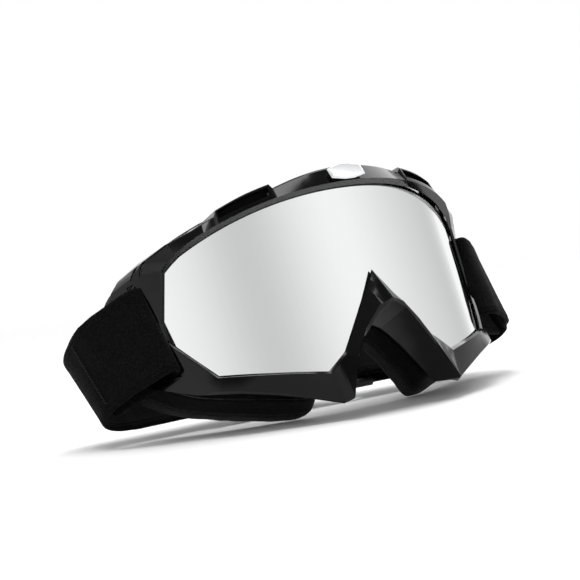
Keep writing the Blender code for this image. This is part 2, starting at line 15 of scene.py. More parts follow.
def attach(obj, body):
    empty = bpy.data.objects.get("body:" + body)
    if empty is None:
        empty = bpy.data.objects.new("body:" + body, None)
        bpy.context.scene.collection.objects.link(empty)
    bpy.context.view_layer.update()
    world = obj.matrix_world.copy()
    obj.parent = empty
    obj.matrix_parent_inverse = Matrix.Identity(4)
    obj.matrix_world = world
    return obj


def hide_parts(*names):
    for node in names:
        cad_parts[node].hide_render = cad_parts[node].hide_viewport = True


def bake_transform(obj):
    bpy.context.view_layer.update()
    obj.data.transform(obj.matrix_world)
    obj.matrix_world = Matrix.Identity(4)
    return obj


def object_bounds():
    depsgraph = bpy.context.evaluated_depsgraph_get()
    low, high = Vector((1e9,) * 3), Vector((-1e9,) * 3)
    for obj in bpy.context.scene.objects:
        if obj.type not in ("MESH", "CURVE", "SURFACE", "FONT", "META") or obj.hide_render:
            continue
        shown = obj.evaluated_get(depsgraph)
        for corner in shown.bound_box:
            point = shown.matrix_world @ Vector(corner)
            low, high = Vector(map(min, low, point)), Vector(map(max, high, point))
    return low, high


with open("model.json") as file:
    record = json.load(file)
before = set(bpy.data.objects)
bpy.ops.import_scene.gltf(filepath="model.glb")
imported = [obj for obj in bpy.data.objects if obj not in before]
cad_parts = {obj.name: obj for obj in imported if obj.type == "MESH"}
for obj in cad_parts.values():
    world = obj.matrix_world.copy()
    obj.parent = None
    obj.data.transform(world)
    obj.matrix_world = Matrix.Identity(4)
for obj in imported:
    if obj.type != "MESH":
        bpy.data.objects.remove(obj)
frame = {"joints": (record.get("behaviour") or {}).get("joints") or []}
cad_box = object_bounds()

MM = 0.001
LEAN = math.radians(16.0)
SWING_AXIS = Vector((0.0, 60.0, -10.0))
LENS_RADIUS = 97.1
LENS_TOP, LENS_TOP_DROP, LENS_CORNER_U = 35.0, 11.6, 79.1
LENS_SETBACK, LENS_THICKNESS, LENS_MARGIN = 1.2, 1.2, 1.6
SHELL_WALL, FLANGE_WALL = 1.1, 1.8
GAP, FOAM_GAP = 0.4, 1.1
FOAM_CORE, FOAM_LINING = 9.0, 7.0
STRAP_WIDTH, STRAP_THICKNESS = 39.5, 2.2
SLIDER_X = -30.0
LEFT_RISE, LEFT_BULGE, LEFT_UNTILT, LEFT_FLARE = 6.0, 5.0, 4.8, 0.12    # strap on the wearer's left
FLOOR_RADIUS, FLOOR_SOLID = 1.6, 0.3                    # metres; the floor fades out beyond FLOOR_SOLID
AIM_OFFSET = (-0.0097, 0.007, 0.0013)                   # metres from the middle of the goggles

swing = next(j for j in frame["joints"] if j["name"] == "strap_swing")
LEANED = Matrix.Rotation(-LEAN, 4, "X")
STAND = (Matrix.Translation(Vector(swing["pos_m"]) - LEANED @ (SWING_AXIS * MM)) @ LEANED
         @ Matrix.Scale(MM, 4))


# ------------------------------------------------------------------ camera, studio

def make_camera():
    """Long lens from the wearer's right, level with the lens and a little rolled."""
    azimuth, elevation, roll = math.radians(-35.9), math.radians(1.65), math.radians(-7.95)
    distance, focal = 0.927, 137.6
    back = Vector((math.sin(azimuth) * math.cos(elevation),
                   -math.cos(azimuth) * math.cos(elevation), math.sin(elevation)))
    low, high = cad_box
    aim = (Vector(low) + Vector(high)) / 2 + Vector(AIM_OFFSET)
    place = STAND @ Vector((0.0, 0.0, 0.0)) + back * distance
    cam = bpy.data.cameras.new("camera")
    cam.lens = focal
    cam.sensor_width = 36.0
    ob = bpy.data.objects.new("camera", cam)
    bpy.context.scene.collection.objects.link(ob)
    towards = (aim - place).normalized()
    right = towards.cross(Vector((0, 0, 1))).normalized()
    up = right.cross(towards)
    turned = right * math.cos(roll) + up * math.sin(roll)
    basis = Matrix((turned, turned.cross(towards), -towards)).transposed()
    ob.matrix_world = Matrix.Translation(place) @ basis.to_4x4()
    bpy.context.scene.camera = ob


make_camera()
bpy.context.scene.view_settings.view_transform = "Standard"


def ramp(node, stops, interpolation="EASE"):
    """Fills a colour ramp with (position, grey or colour) stops."""
    band = node.color_ramp
    band.interpolation = interpolation
    while len(band.elements) > 1:
        band.elements.remove(band.elements[-1])
    for i, (at, value) in enumerate(stops):
        colour = value if isinstance(value, tuple) else (value,) * 3
        element = band.elements[0] if i == 0 else band.elements.new(at)
        element.position = at
        element.color = (*colour, 1.0)


def make_world():
    """White studio: two broad grey bands round the walls, a brighter back wall, a dim ceiling.

    levels holds the walls' brightness every 15 degrees: from straight behind the goggles past the
    wearer's right, the front and the wearer's left, and back to the start.
    """
    world = bpy.data.worlds.new("studio")
    bpy.context.scene.world = world
    world.use_nodes = True
    nt = world.node_tree
    coords = nt.nodes.new("ShaderNodeTexCoord")
    split = nt.nodes.new("ShaderNodeSeparateXYZ")
    turn = nt.nodes.new("ShaderNodeMath")
    turn.operation = "ARCTAN2"
    front = nt.nodes.new("ShaderNodeMath")
    front.operation = "MULTIPLY"
    front.inputs[1].default_value = -1.0
    scale = nt.nodes.new("ShaderNodeMapRange")
    scale.inputs["From Min"].default_value = -math.pi
    scale.inputs["From Max"].default_value = math.pi
    bands = nt.nodes.new("ShaderNodeValToRGB")
    ceiling = nt.nodes.new("ShaderNodeMapRange")
    ceiling.interpolation_type = "SMOOTHSTEP"
    wall_top, ceiling_start, ceiling_level = 0.56, 0.78, 0.22
    ceiling.inputs["From Min"].default_value = wall_top
    ceiling.inputs["From Max"].default_value = ceiling_start
    ceiling.inputs["To Min"].default_value = 1.0
    ceiling.inputs["To Max"].default_value = ceiling_level

    levels = [1.8, 1.8, 1.6, 1.4, 1.2, 1.05, 1.0, 0.94, 0.845, 0.69, 0.60, 0.68, 0.827, 0.94, 0.99,
              0.92, 0.825, 0.735, 0.667, 0.58, 1.2, 2.8, 2.8, 2.2, 1.8]
    ramp(bands, [(i / (len(levels) - 1), level) for i, level in enumerate(levels)], "B_SPLINE")
    nt.links.new(coords.outputs["Generated"], split.inputs[0])
    nt.links.new(split.outputs["Y"], front.inputs[0])
    nt.links.new(split.outputs["X"], turn.inputs[0])
    nt.links.new(front.outputs[0], turn.inputs[1])
    nt.links.new(turn.outputs[0], scale.inputs["Value"])
    nt.links.new(scale.outputs[0], bands.inputs[0])
    nt.links.new(bands.outputs[0], nt.nodes["Background"].inputs["Color"])
    nt.links.new(split.outputs["Z"], ceiling.inputs["Value"])
    nt.links.new(ceiling.outputs[0], nt.nodes["Background"].inputs["Strength"])


def area_light(name, place, target, size, power):
    """Rectangular soft light at place, turned to target; metres and watts."""
    lamp = bpy.data.lights.new(name, "AREA")
    lamp.shape = "RECTANGLE"
    lamp.size, lamp.size_y = size
    lamp.energy = power
    ob = bpy.data.objects.new(name, lamp)
    ob.location = place
    ob.rotation_euler = (Vector(target) - Vector(place)).to_track_quat("-Z", "Y").to_euler()
    bpy.context.scene.collection.objects.link(ob)


def make_floor():
    """Pale matte disc that fades into the studio at its edge."""
    bm = bmesh.new()
    bmesh.ops.create_circle(bm, cap_ends=True, segments=96, radius=FLOOR_RADIUS)
    mesh = bpy.data.meshes.new("floor")
    bm.to_mesh(mesh)
    bm.free()
    ob = bpy.data.objects.new("floor", mesh)
    ob.location = (0.0, 0.0, -0.0002)
    bpy.context.scene.collection.objects.link(ob)
    mat = bpy.data.materials.new("floor")
    mat.use_nodes = True
    nt = mat.node_tree
    shader = nt.nodes["Principled BSDF"]
    shader.inputs["Base Color"].default_value = (0.95, 0.95, 0.95, 1.0)
    shader.inputs["Roughness"].default_value = 0.7
    shader.inputs["Specular IOR Level"].default_value = 0.1
    coords = nt.nodes.new("ShaderNodeTexCoord")
    length = nt.nodes.new("ShaderNodeVectorMath")
    length.operation = "LENGTH"
    fade = nt.nodes.new("ShaderNodeMapRange")
    fade.interpolation_type = "SMOOTHSTEP"
    fade.inputs["From Min"].default_value = FLOOR_SOLID
    fade.inputs["From Max"].default_value = FLOOR_RADIUS
    fade.inputs["To Min"].default_value = 1.0
    fade.inputs["To Max"].default_value = 0.0
    nt.links.new(coords.outputs["Object"], length.inputs[0])
    nt.links.new(length.outputs["Value"], fade.inputs["Value"])
    nt.links.new(fade.outputs[0], shader.inputs["Alpha"])
    mesh.materials.append(mat)


make_world()
make_floor()
area_light("overhead", (0.05, 0.25, 1.6), (0, 0, 0.05), (1.1, 1.1), 21.0)
area_light("floor_wash", (0.75, 0.25, 0.75), (0.65, 0.2, 0.0), (0.7, 0.7), 5.0)


# ------------------------------------------------------------------ materials

def principled(name, colour, roughness, **sockets):
    """Material with constants set on its principled shader; socket names use _ for a space."""
    mat = bpy.data.materials.new(name)
    mat.use_nodes = True
    shader = mat.node_tree.nodes["Principled BSDF"]
    shader.inputs["Base Color"].default_value = (*colour, 1.0)
    shader.inputs["Roughness"].default_value = roughness
    for key, value in sockets.items():
        shader.inputs[key.replace("_", " ")].default_value = value
    return mat


def node(mat, kind, **settings):
    """Shader node with its inputs, or else its own settings, set by name."""
    made = mat.node_tree.nodes.new(kind)
    for key, value in settings.items():
        if key in made.inputs:
            made.inputs[key].default_value = value
        else:
            setattr(made, key, value)
    return made


def link(mat, source, target):
    """Connects two sockets of a material."""
    mat.node_tree.links.new(source, target)


def object_noise(mat, scale, detail=4.0, stretch=(1.0, 1.0, 1.0)):
    """Noise in metres on the piece, so its grain has one real size everywhere."""
    coords = node(mat, "ShaderNodeTexCoord")
    mapping = node(mat, "ShaderNodeMapping")
    mapping.inputs["Scale"].default_value = stretch
    grain = node(mat, "ShaderNodeTexNoise", Scale=scale, Detail=detail)
    link(mat, coords.outputs["Object"], mapping.inputs["Vector"])
    link(mat, mapping.outputs[0], grain.inputs["Vector"])
    return grain


def shade_from(mat, source, low, high, start=0.3, end=0.7):
    """Base colour between two colours by a noise value."""
    mix = node(mat, "ShaderNodeValToRGB")
    ramp(mix, [(start, low), (end, high)], "LINEAR")
    link(mat, source, mix.inputs[0])
    link(mat, mix.outputs[0], mat.node_tree.nodes["Principled BSDF"].inputs["Base Color"])


def roughness_from(mat, source, low, high):
    """Roughness between two values by a noise value."""
    span = node(mat, "ShaderNodeMapRange")
    span.inputs["From Min"].default_value = 0.3
    span.inputs["From Max"].default_value = 0.7
    span.inputs["To Min"].default_value = low
    span.inputs["To Max"].default_value = high
    link(mat, source, span.inputs["Value"])
    link(mat, span.outputs[0], mat.node_tree.nodes["Principled BSDF"].inputs["Roughness"])


def bump_from(mat, source, depth_mm, strength=1.0, under=None):
    """Surface relief by a noise value, on top of another relief if there is one under it."""
    bump = node(mat, "ShaderNodeBump", Strength=strength, Distance=depth_mm * MM)
    link(mat, source, bump.inputs["Height"])
    if under:
        link(mat, under, bump.inputs["Normal"])
    link(mat, bump.outputs[0], mat.node_tree.nodes["Principled BSDF"].inputs["Normal"])
    return bump.outputs[0]


def gloss_plastic(name, colour, roughness, specular):
    """Polished injection-moulded plastic: faint orange peel and handling haze."""
    mat = principled(name, colour, roughness, Specular_IOR_Level=specular)
    haze = object_noise(mat, 60.0, 3.0)
    roughness_from(mat, haze.outputs["Fac"], roughness * 0.7, roughness * 1.5)
    peel = object_noise(mat, 420.0, 2.0)
    bump_from(mat, peel.outputs["Fac"], 0.012, 0.35)
    return mat


def mirror_coating():
    """Silver mirror on the lens, with a faint uneven haze."""
    mat = principled("mirror_lens", (0.915, 0.92, 0.925), 0.05, Metallic=1.0)
    haze = object_noise(mat, 25.0, 2.0)
    roughness_from(mat, haze.outputs["Fac"], 0.035, 0.075)
    return mat


def satin_metal():
    """Bright satin plating with a fine brushed grain along X."""
    mat = principled("silver_plate", (0.84, 0.85, 0.86), 0.3, Metallic=0.25)
    brushed = object_noise(mat, 900.0, 3.0, (0.05, 1.0, 1.0))
    roughness_from(mat, brushed.outputs["Fac"], 0.28, 0.4)
    return mat


def open_foam(name, dark, light, cells_mm, depth_mm):
    """Open-cell foam with random tone, its pores painted darker as shade between rounded struts."""
    mat = principled(name, light, 0.95, Specular_IOR_Level=0.1, Sheen_Weight=0.06,
                     Sheen_Roughness=0.5)
    coords = node(mat, "ShaderNodeTexCoord")
    cells = node(mat, "ShaderNodeTexVoronoi", Scale=1000.0 / cells_mm)
    link(mat, coords.outputs["Object"], cells.inputs["Vector"])
    cloud = object_noise(mat, 1600.0, 3.0)
    both = node(mat, "ShaderNodeMath", operation="MULTIPLY_ADD")
    both.inputs[1].default_value = 0.6
    link(mat, cloud.outputs["Fac"], both.inputs[0])
    link(mat, cells.outputs["Distance"], both.inputs[2])
    # Painted shade: the colour darkens towards each cell's middle, where the pore hollows lie, mixed
    # with random tone.
    shade_from(mat, both.outputs[0], dark, light, 0.35, 0.85)
    bump_from(mat, both.outputs[0], depth_mm, 0.8)
    return mat


def velvet_webbing():
    """Brushed elastic: fine pile with stray light fibres over a faint rib."""
    mat = principled("velvet_webbing", (0.004, 0.004, 0.0042), 0.92, Specular_IOR_Level=0.06,
                     Sheen_Weight=0.06, Sheen_Roughness=0.3)
    mat.node_tree.nodes["Principled BSDF"].inputs["Sheen Tint"].default_value = (0.55, 0.55, 0.57, 1)
    pile = object_noise(mat, 2600.0, 6.0)
    fleck = object_noise(mat, 1700.0, 6.0)
    shade_from(mat, fleck.outputs["Fac"], (0.002, 0.002, 0.0021), (0.014, 0.014, 0.0145), 0.45, 0.85)
    nap = object_noise(mat, 140.0, 5.0)
    first = bump_from(mat, nap.outputs["Fac"], 0.35, 0.5)
    bump_from(mat, pile.outputs["Fac"], 0.25, 0.9, first)
    return mat


gloss = gloss_plastic("gloss_black", (0.0012, 0.0012, 0.0013), 0.1, 0.33)
satin = gloss_plastic("satin_black", (0.003, 0.003, 0.0032), 0.28, 0.13)
buckle_plastic = gloss_plastic("buckle_black", (0.012, 0.012, 0.012), 0.38, 0.4)
mirror = mirror_coating()
silver = satin_metal()
filter_foam = open_foam("filter_foam", (0.010, 0.010, 0.010), (0.085, 0.085, 0.087), 1.1, 0.5)
# Both face foams are painted darker than their own grey, as shade under the frame; the darker one also
# paints the scoop foams as shade under the hoods.
dark_foam_with_painted_shade = open_foam("dark_foam_with_painted_shade", (0.0008, 0.0008, 0.0008), (0.0035, 0.0035, 0.0036), 0.7, 0.25)
fleece_with_painted_shade = open_foam("face_fleece", (0.003, 0.003, 0.0032), (0.018, 0.018, 0.019), 0.8, 0.3)
velvet = velvet_webbing()
thread = open_foam("thread", (0.002, 0.002, 0.002), (0.008, 0.008, 0.008), 0.5, 0.1)


# ------------------------------------------------------------------ mesh helpers

def on_lens(u, z, out):
    """Point at arc length u and height z, out from the lens's cylinder."""
    a = u / LENS_RADIUS
    r = LENS_RADIUS + out
    return Vector((r * math.sin(a), LENS_RADIUS - r * math.cos(a), z))


def lens_top(u):
    """Height of the lens opening's upper edge at arc length u."""
    return LENS_TOP - LENS_TOP_DROP * (abs(u) / LENS_CORNER_U) ** 2.2


def clamp(value):
    """The value kept between 0 and 1."""
    return min(1.0, max(0.0, value))


def face_y(x, z):
    """How far back the face flange lies: it curves round the face and comes forward to the nose."""
    low = clamp(-z / 45.0)
    return 25.0 - 8.0 * low + 21.5 * (x / 62.0) ** 2


def between(stops, at):
    """Value at a place along (place, value) stops, straight between them."""
    if at <= stops[0][0]:
        return stops[0][1]
    for (a, va), (b, vb) in zip(stops, stops[1:]):
        if at <= b:
            return va + (vb - va) * (at - a) / (b - a)
    return stops[-1][1]


def skin(bm, a, b, quads):
    """Quads between two rows of vertices."""
    for j in range(quads):
        k = (j + 1) % len(a)
        bm.faces.new((a[j], a[k], b[k], b[j]))


def ring(sections, closed_profile):
    """Closed ring of sections; each section is a closed outline or an open strip."""
    bm = bmesh.new()
    rows = [[bm.verts.new(p) for p in s] for s in sections]
    quads = len(rows[0]) if closed_profile else len(rows[0]) - 1
    for a, b in zip(rows, rows[1:] + rows[:1]):
        skin(bm, a, b, quads)
    return bm


def tube(sections, bm=None):
    """Run of closed outlines with both ends capped, in a new mesh or in bm."""
    if bm is None:
        bm = bmesh.new()
    rows = [[bm.verts.new(p) for p in s] for s in sections]
    for a, b in zip(rows, rows[1:]):
        skin(bm, a, b, len(a))
    bm.faces.new(rows[0][::-1])
    bm.faces.new(rows[-1])
    return bm


def flip_x(points):
    """The points on the other side of the goggles."""
    return [Vector((-p[0], p[1], p[2])) for p in points]


def whole_ring(half):
    """Sections of the wearer's left half, from top centre to nose, and of their mirror."""
    return half + [flip_x(s) for s in reversed(half[1:-1])]


def catmull(a, b, c, d, t):
    """Point between b and c on the smooth curve through four points."""
    return 0.5 * (2 * b + (c - a) * t + (2 * a - 5 * b + 4 * c - d) * t * t
                  + (3 * b - a - 3 * c + d) * t ** 3)


def smooth_loop(sections, steps):
    """Closed ring of sections with smooth ones added between them."""
    n = len(sections)
    out = []
    for i in range(n):
        four = [sections[(i + k) % n] for k in (-1, 0, 1, 2)]
        for s in range(steps):
            out.append([catmull(*(Vector(q) for q in row), s / steps) for row in zip(*four)])
    return out


def smooth_path(points, steps):
    """Open path of vectors with smooth ones added between them."""
    out = []
    for i in range(len(points) - 1):
        four = [points[min(max(i + k, 0), len(points) - 1)] for k in (-1, 0, 1, 2)]
        out += [catmull(*four, s / steps) for s in range(steps)]
    return out + [points[-1]]


def rounded(corners, radius, steps=4):
    """Closed polygon with its corners rounded off."""
    out = []
    n = len(corners)
    for i, corner in enumerate(corners):
        c = Vector(corner)
        before, after = Vector(corners[i - 1]) - c, Vector(corners[(i + 1) % n]) - c
        reach = min(radius, before.length * 0.45, after.length * 0.45)
        a, b = c + before.normalized() * reach, c + after.normalized() * reach
        for s in range(steps + 1):
            t = s / steps
            out.append(a * (1 - t) ** 2 + c * (2 * t * (1 - t)) + b * t * t)
    return out


def new_object(name, bm, mat=None):
    """Object from a mesh in the goggles' frame, smooth shaded, normals outwards."""
    bmesh.ops.recalc_face_normals(bm, faces=bm.faces)
    return raw_object(name, bm, mat)


def raw_object(name, bm, mat=None):
    """Object from a mesh in the goggles' frame, smooth shaded, normals as they are."""
    bm.transform(STAND)
    for face in bm.faces:
        face.smooth = True
    mesh = bpy.data.meshes.new(name)
    bm.to_mesh(mesh)
    bm.free()
    ob = bpy.data.objects.new(name, mesh)
    if mat:
        mesh.materials.append(mat)
    bpy.context.scene.collection.objects.link(ob)
    return ob


def bake(ob):
    """Applies every modifier and removes the objects that they cut with."""
    graph = bpy.context.evaluated_depsgraph_get()
    mesh = bpy.data.meshes.new_from_object(ob.evaluated_get(graph))
    used = [m.object for m in ob.modifiers if m.type == "BOOLEAN"]
    ob.modifiers.clear()
    old = ob.data
    ob.data = mesh
    bpy.data.meshes.remove(old)
    for cutter in used:
        bpy.data.objects.remove(cutter, do_unlink=True)


def boolean(ob, cutter, operation="DIFFERENCE"):
    """Cuts another object from ob, or adds it; bake removes the other one."""
    m = ob.modifiers.new("boolean", "BOOLEAN")
    m.object = cutter
    m.operation = operation
    m.solver = "EXACT"


def round_edges(ob, width_mm, degrees, segments=3):
    """Rounds every edge sharper than an angle."""
    m = ob.modifiers.new("edges", "BEVEL")
    m.width = width_mm * MM
    m.segments = segments
    m.limit_method = "ANGLE"
    m.angle_limit = math.radians(degrees)


def sharpen(ob, degrees):
    """Smooth shading that stays crisp across real edges."""
    bm = bmesh.new()
    bm.from_mesh(ob.data)
    limit = math.radians(degrees)
    for face in bm.faces:
        face.smooth = True
    for edge in bm.edges:
        edge.smooth = len(edge.link_faces) == 2 and edge.calc_face_angle(0.0) < limit
    bm.to_mesh(ob.data)
    bm.free()


def settle(ob, body, slot, *nodes):
    """Attaches a finished piece to its body and hides the CAD nodes it stands for; slot is not used."""
    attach(ob, body)
    if nodes:
        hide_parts(*nodes)
    return ob


# ------------------------------------------------------------------ outer frame

HOOD_START, HOOD_END = 33.5, 59.3
EAR_START, EAR_STEP = 65.0, 0.7       # the ear's facet stands this far in front of the brow band
BROW_RISE = [(0, 9.0), (10, 8.7), (22, 7.7), (33, 6.4), (60.5, 5.9), (70, 5.6)]
HOOD_RISE = [(34.5, 8.4), (46, 8.3), (58, 7.7)]
DECK_REAR = [(0, Vector((0.0, 22.5, 44.9))), (10, Vector((10.0, 22.8, 44.7))),
             (22, Vector((22.0, 24.4, 44.0))), (32.5, Vector((31.5, 26.6, 42.4))),
             (46, Vector((44.0, 30.6, 39.4))), (58, Vector((53.0, 34.5, 36.6))),
             (60.5, Vector((55.5, 36.5, 35.9))), (70, Vector((66.0, 45.0, 33.0)))]
BROW_U = [0, 4, 8, 12, 16, 20, 24, 28, 31, 32.8, 34.2, 36, 39, 42, 45, 48, 51, 54, 57, 58.6, 60, 62,
          64.4, 65.4, 70]


def brow_section(u):
    """Lip, step, two crest points and deck edge of the brow at arc length u."""
    hood = 1.0 if HOOD_START < u < HOOD_END else 0.0
    rise = between(HOOD_RISE if hood else BROW_RISE, u)
    lean = 0.8 + 0.8 * hood + (EAR_STEP if u > EAR_START else 0.0)
    z = lens_top(u)
    top = z + rise
    rear = between(DECK_REAR, u)
    return [on_lens(u, z, 0.1), on_lens(u, z + 1.2, 3.4), on_lens(u, top - 0.7, lean),
            on_lens(u, top, lean - 0.9), rear]


# Sections from the lens's upper corner round to the nose. The lip and crest are (arc length,
# height, distance in front) on the lens cylinder; edge, bevel and rear are points.
SIDE = [
    [(79.1, 23.4, 0.1), (79.5, 24.3, 2.4), (73.4, 31.0, 28.9), (74.2, 32.4, 29.3), (76.0, 54.0, 29.0)],
    [(83.2, 21.4, 0.1), (83.9, 22.0, 1.7), (80.4, 37.2, 25.4), (81.8, 38.6, 25.8), (86.5, 56.0, 23.2)],
    [(87.3, 19.0, 0.1), (88.0, 19.3, 1.1), (84.0, 42.8, 21.4), (86.2, 46.0, 21.0), (90.6, 57.6, 18.6)],
    [(90.6, 9.0, 0.1), (91.4, 9.2, 1.0), (84.9, 46.6, 10.0), (87.4, 50.2, 10.0), (91.2, 58.4, 10.0)],
    [(93.9, -1.0, 0.1), (94.7, -0.9, 1.0), (85.2, 47.6, -1.0), (87.4, 51.0, -1.0), (91.0, 58.4, -1.0)],
    [(93.6, -9.3, 0.1), (94.3, -9.6, 1.0), (84.6, 46.8, -12.0), (87.0, 50.2, -12.0),
     (90.4, 57.0, -12.5)],
    [(85.2, -19.5, 0.1), (85.8, -20.1, 1.0), (79.6, 40.4, -25.0), (83.0, 44.6, -26.2),
     (88.0, 51.5, -25.4)],
    [(76.7, -29.7, 0.1), (77.0, -30.6, 1.0), (73.4, 29.4, -35.6), (75.0, 31.4, -36.2),
     (77.4, 35.6, -34.6)],
    [(67.9, -31.9, 0.1), (68.0, -32.9, 1.0), (64.8, 21.2, -39.2), (64.6, 22.1, -40.0),
     (65.2, 25.6, -38.4)],
    [(56.0, -35.0, 0.1), (56.0, -36.0, 1.0), (53.2, 14.6, -43.8), (53.0, 15.6, -44.6),
     (53.4, 19.0, -42.6)],
    [(44.2, -37.9, 0.1), (44.1, -38.9, 1.0), (41.4, 8.6, -49.0), (41.2, 9.8, -49.8),
     (41.6, 13.0, -47.6)],
    [(32.5, -40.9, 0.1), (32.0, -42.1, 1.0), (30.0, 3.8, -54.4), (29.6, 5.1, -55.2),
     (30.2, 9.0, -52.6)],
    [(27.6, -37.5, 0.1), (27.0, -38.6, 0.9), (27.4, -1.0, -54.2), (27.8, -0.2, -55.0),
     (26.6, 17.2, -51.6)],
    [(22.6, -34.0, 0.1), (22.0, -34.7, 0.8), (20.4, -1.4, -38.0), (21.0, -0.4, -40.0),
     (21.8, 17.4, -42.0)],
    [(15.1, -23.9, 0.1), (14.7, -24.5, 0.7), (13.6, -3.6, -27.4), (14.6, -2.4, -30.6),
     (16.4, 18.0, -32.6)],
    [(7.5, -13.7, 0.1), (7.2, -14.2, 0.6), (6.2, -6.6, -19.8), (7.0, -6.0, -22.4), (9.6, 18.6, -24.0)],
    [(0.0, -2.7, 0.1), (0.0, -3.3, 0.6), (0.0, -8.8, -17.8), (0.0, -8.2, -18.9), (0.0, 18.6, -19.6)],
]


def side_sections(steps):
    """The SIDE sections with more between them that keep to the lens cylinder at the lip."""
    out = []
    for here, there in zip(SIDE, SIDE[1:]):
        for s in range(steps):
            t = s / steps
            mixed = [Vector(a).lerp(Vector(b), t) for a, b in zip(here, there)]
            out.append([on_lens(*mixed[0]), on_lens(*mixed[1])] + mixed[2:])
    last = [Vector(p) for p in SIDE[-1]]
    return out + [[on_lens(*last[0]), on_lens(*last[1])] + last[2:]]


# Leaf-shaped slits beside the ear: middle, length and width.
EAR_SLITS = [((82.3, 40.3, 23.8), 9.0, 2.0), ((84.9, 43.9, 23.2), 9.0, 2.0)]


def prism(outline, low, high):
    """Upright prism on an outline, between two heights."""
    return tube([[(p[0], p[1], z) for p in outline] for z in (low, high)])


def slot_prism(side):
    """Strap slot through the side of the frame."""
    top, low = Vector((85.5, 46.6, 18.2)), Vector((80.4, 40.2, -24.8))
    forward, rearward = Vector((-0.60, -0.80, 0.0)), Vector((0.60, 0.80, 0.0)) * 3.2
    through = Vector((0.80, -0.60, 0.0)) * 9.0
    rows = [[p + forward - through, p + rearward - through, p + rearward + through,
             p + forward + through] for p in (top, low)]
    return tube(rows if side > 0 else [flip_x(r) for r in rows])


def scoop_prism(side):
    """Scoop channel under a brow hood."""
    start, end, steps = 35.4, 57.8, 12
    low, high, front, back = 3.2, 7.0, 4.4, -7.0
    rows = []
    for i in range(steps + 1):
        u = start + (end - start) * i / steps
        rows.append([on_lens(side * u, lens_top(u) + rise, out)
                     for out, rise in ((front, low), (front, high), (back, high), (back, low))])
    return tube(rows)


def ear_slit_prism(middle, length, width, side):
    """Leaf-shaped slit beside the ear: two arcs that meet in points."""
    along = Vector((0.30, 0.55, -0.78)).normalized()
    across = Vector((0.59, 0.81, 0.0)).normalized()
    through = Vector((-0.72, 0.69, 0.0)).normalized()
    steps, depth = 8, 2.6
    outline = []
    for arc in (1, -1):
        for i in range(steps):
            t = i / steps if arc > 0 else 1 - i / steps
            outline.append(Vector(middle) + along * (length * (t - 0.5))
                           + across * (arc * width / 2 * math.sin(math.pi * t)))
    rows = [[p + through * d for p in outline] for d in (-depth, depth)]
    return tube(rows if side > 0 else [flip_x(r) for r in rows])


def make_outer_frame():
    """Faceted shell with its deck openings, scoops, strap slots and ear slits."""
    half = [brow_section(u) for u in BROW_U] + side_sections(3)
    bm = ring(whole_ring(half), False)
    bmesh.ops.recalc_face_normals(bm, faces=bm.faces)
    if sum(f.normal.y for f in bm.faces) > 0:
        bmesh.ops.reverse_faces(bm, faces=bm.faces)
    ob = raw_object("frame_shell", bm, gloss)
    wall = ob.modifiers.new("wall", "SOLIDIFY")
    wall.thickness = SHELL_WALL * MM
    wall.offset = -1.0
    wall.use_quality_normals = True
    bake(ob)
    centre = [(-30.5, 5.6, 0), (30.5, 5.6, 0), (31.5, 22.0, 0), (0.0, 19.6, 0), (-31.5, 22.0, 0)]
    boolean(ob, new_object("cut", prism(rounded(centre, 2.2), 30.0, 60.0)))
    outer = [(61.5, 29.0, 0), (76.0, 45.0, 0), (74.0, 52.5, 0), (59.5, 36.5, 0)]
    for side in (1, -1):
        corners = outer if side > 0 else flip_x(outer)
        boolean(ob, new_object("cut", prism(rounded(corners, 1.8), 20.0, 60.0)))
        boolean(ob, new_object("cut", scoop_prism(side)))
        boolean(ob, new_object("cut", slot_prism(side)))
        for middle, length, width in EAR_SLITS:
            boolean(ob, new_object("cut", ear_slit_prism(middle, length, width, side)))
    bake(ob)
    round_edges(ob, 0.32, 11.0)
    bake(ob)
    sharpen(ob, 14.0)
    settle(ob, "goggles", "gloss_black", "outer_frame")


# ------------------------------------------------------------------ lens, face frame, foams

LENS_SIDE = [(79.1, 23.4), (87.3, 19.0), (93.9, -1.0), (93.6, -9.3), (76.7, -29.7), (32.5, -40.9),
             (22.6, -34.0), (0.0, -2.7)]


def lens_outline(margin, steps=20):
    """Half outline of the lens from the top centre to the nose notch, grown by margin."""
    pts = [(LENS_CORNER_U * i / steps, lens_top(LENS_CORNER_U * i / steps)) for i in range(steps)]
    pts += LENS_SIDE
    out = []
    for i, (u, z) in enumerate(pts):
        before = pts[i - 1] if i else (-pts[1][0], pts[1][1])
        after = pts[i + 1] if i + 1 < len(pts) else (-pts[-2][0], pts[-2][1])
        d1 = Vector((u - before[0], z - before[1])).normalized()
        d2 = Vector((after[0] - u, after[1] - z)).normalized()
        n = (Vector((-d1.y, d1.x)) + Vector((-d2.y, d2.x))).normalized()
        grown = margin / max(0.5, n.dot(Vector((-d1.y, d1.x))))
        out.append((u + n.x * grown, z + n.y * grown))
    out[0] = (0.0, out[0][1])
    out[-1] = (0.0, out[-1][1])
    return out


def make_lens():
    """Bent lens, in columns across its width so that its face stays a true cylinder."""
    half = lens_outline(LENS_MARGIN)
    widest = max(half, key=lambda p: p[0])
    i = half.index(widest)
    upper, lower = half[:i + 1], half[i:][::-1]
    spacing, blunt, blunt_half = 2.0, 0.15, 0.35
    places = {round(p[0], 3) for p in half}
    places |= {spacing * k for k in range(int(widest[0] / spacing) + 1)}
    columns = sorted(u for u in places if u < widest[0] - 2 * blunt)
    half_rows = [(u, between(upper, u), between(lower, u)) for u in columns]
    half_rows.append((widest[0] - blunt, widest[1] + blunt_half, widest[1] - blunt_half))
    rows = [(-u, a, b) for u, a, b in reversed(half_rows[1:])] + half_rows
    front, back = -LENS_SETBACK, -LENS_SETBACK - LENS_THICKNESS
    bm = tube([[on_lens(u, a, front), on_lens(u, b, front), on_lens(u, b, back), on_lens(u, a, back)]
               for u, a, b in rows])
    ob = new_object("lens_shield", bm, mirror)
    round_edges(ob, 0.25, 50.0, 2)
    bake(ob)
    sharpen(ob, 12.0)
    settle(ob, "goggles", "mirror_lens", "lens")


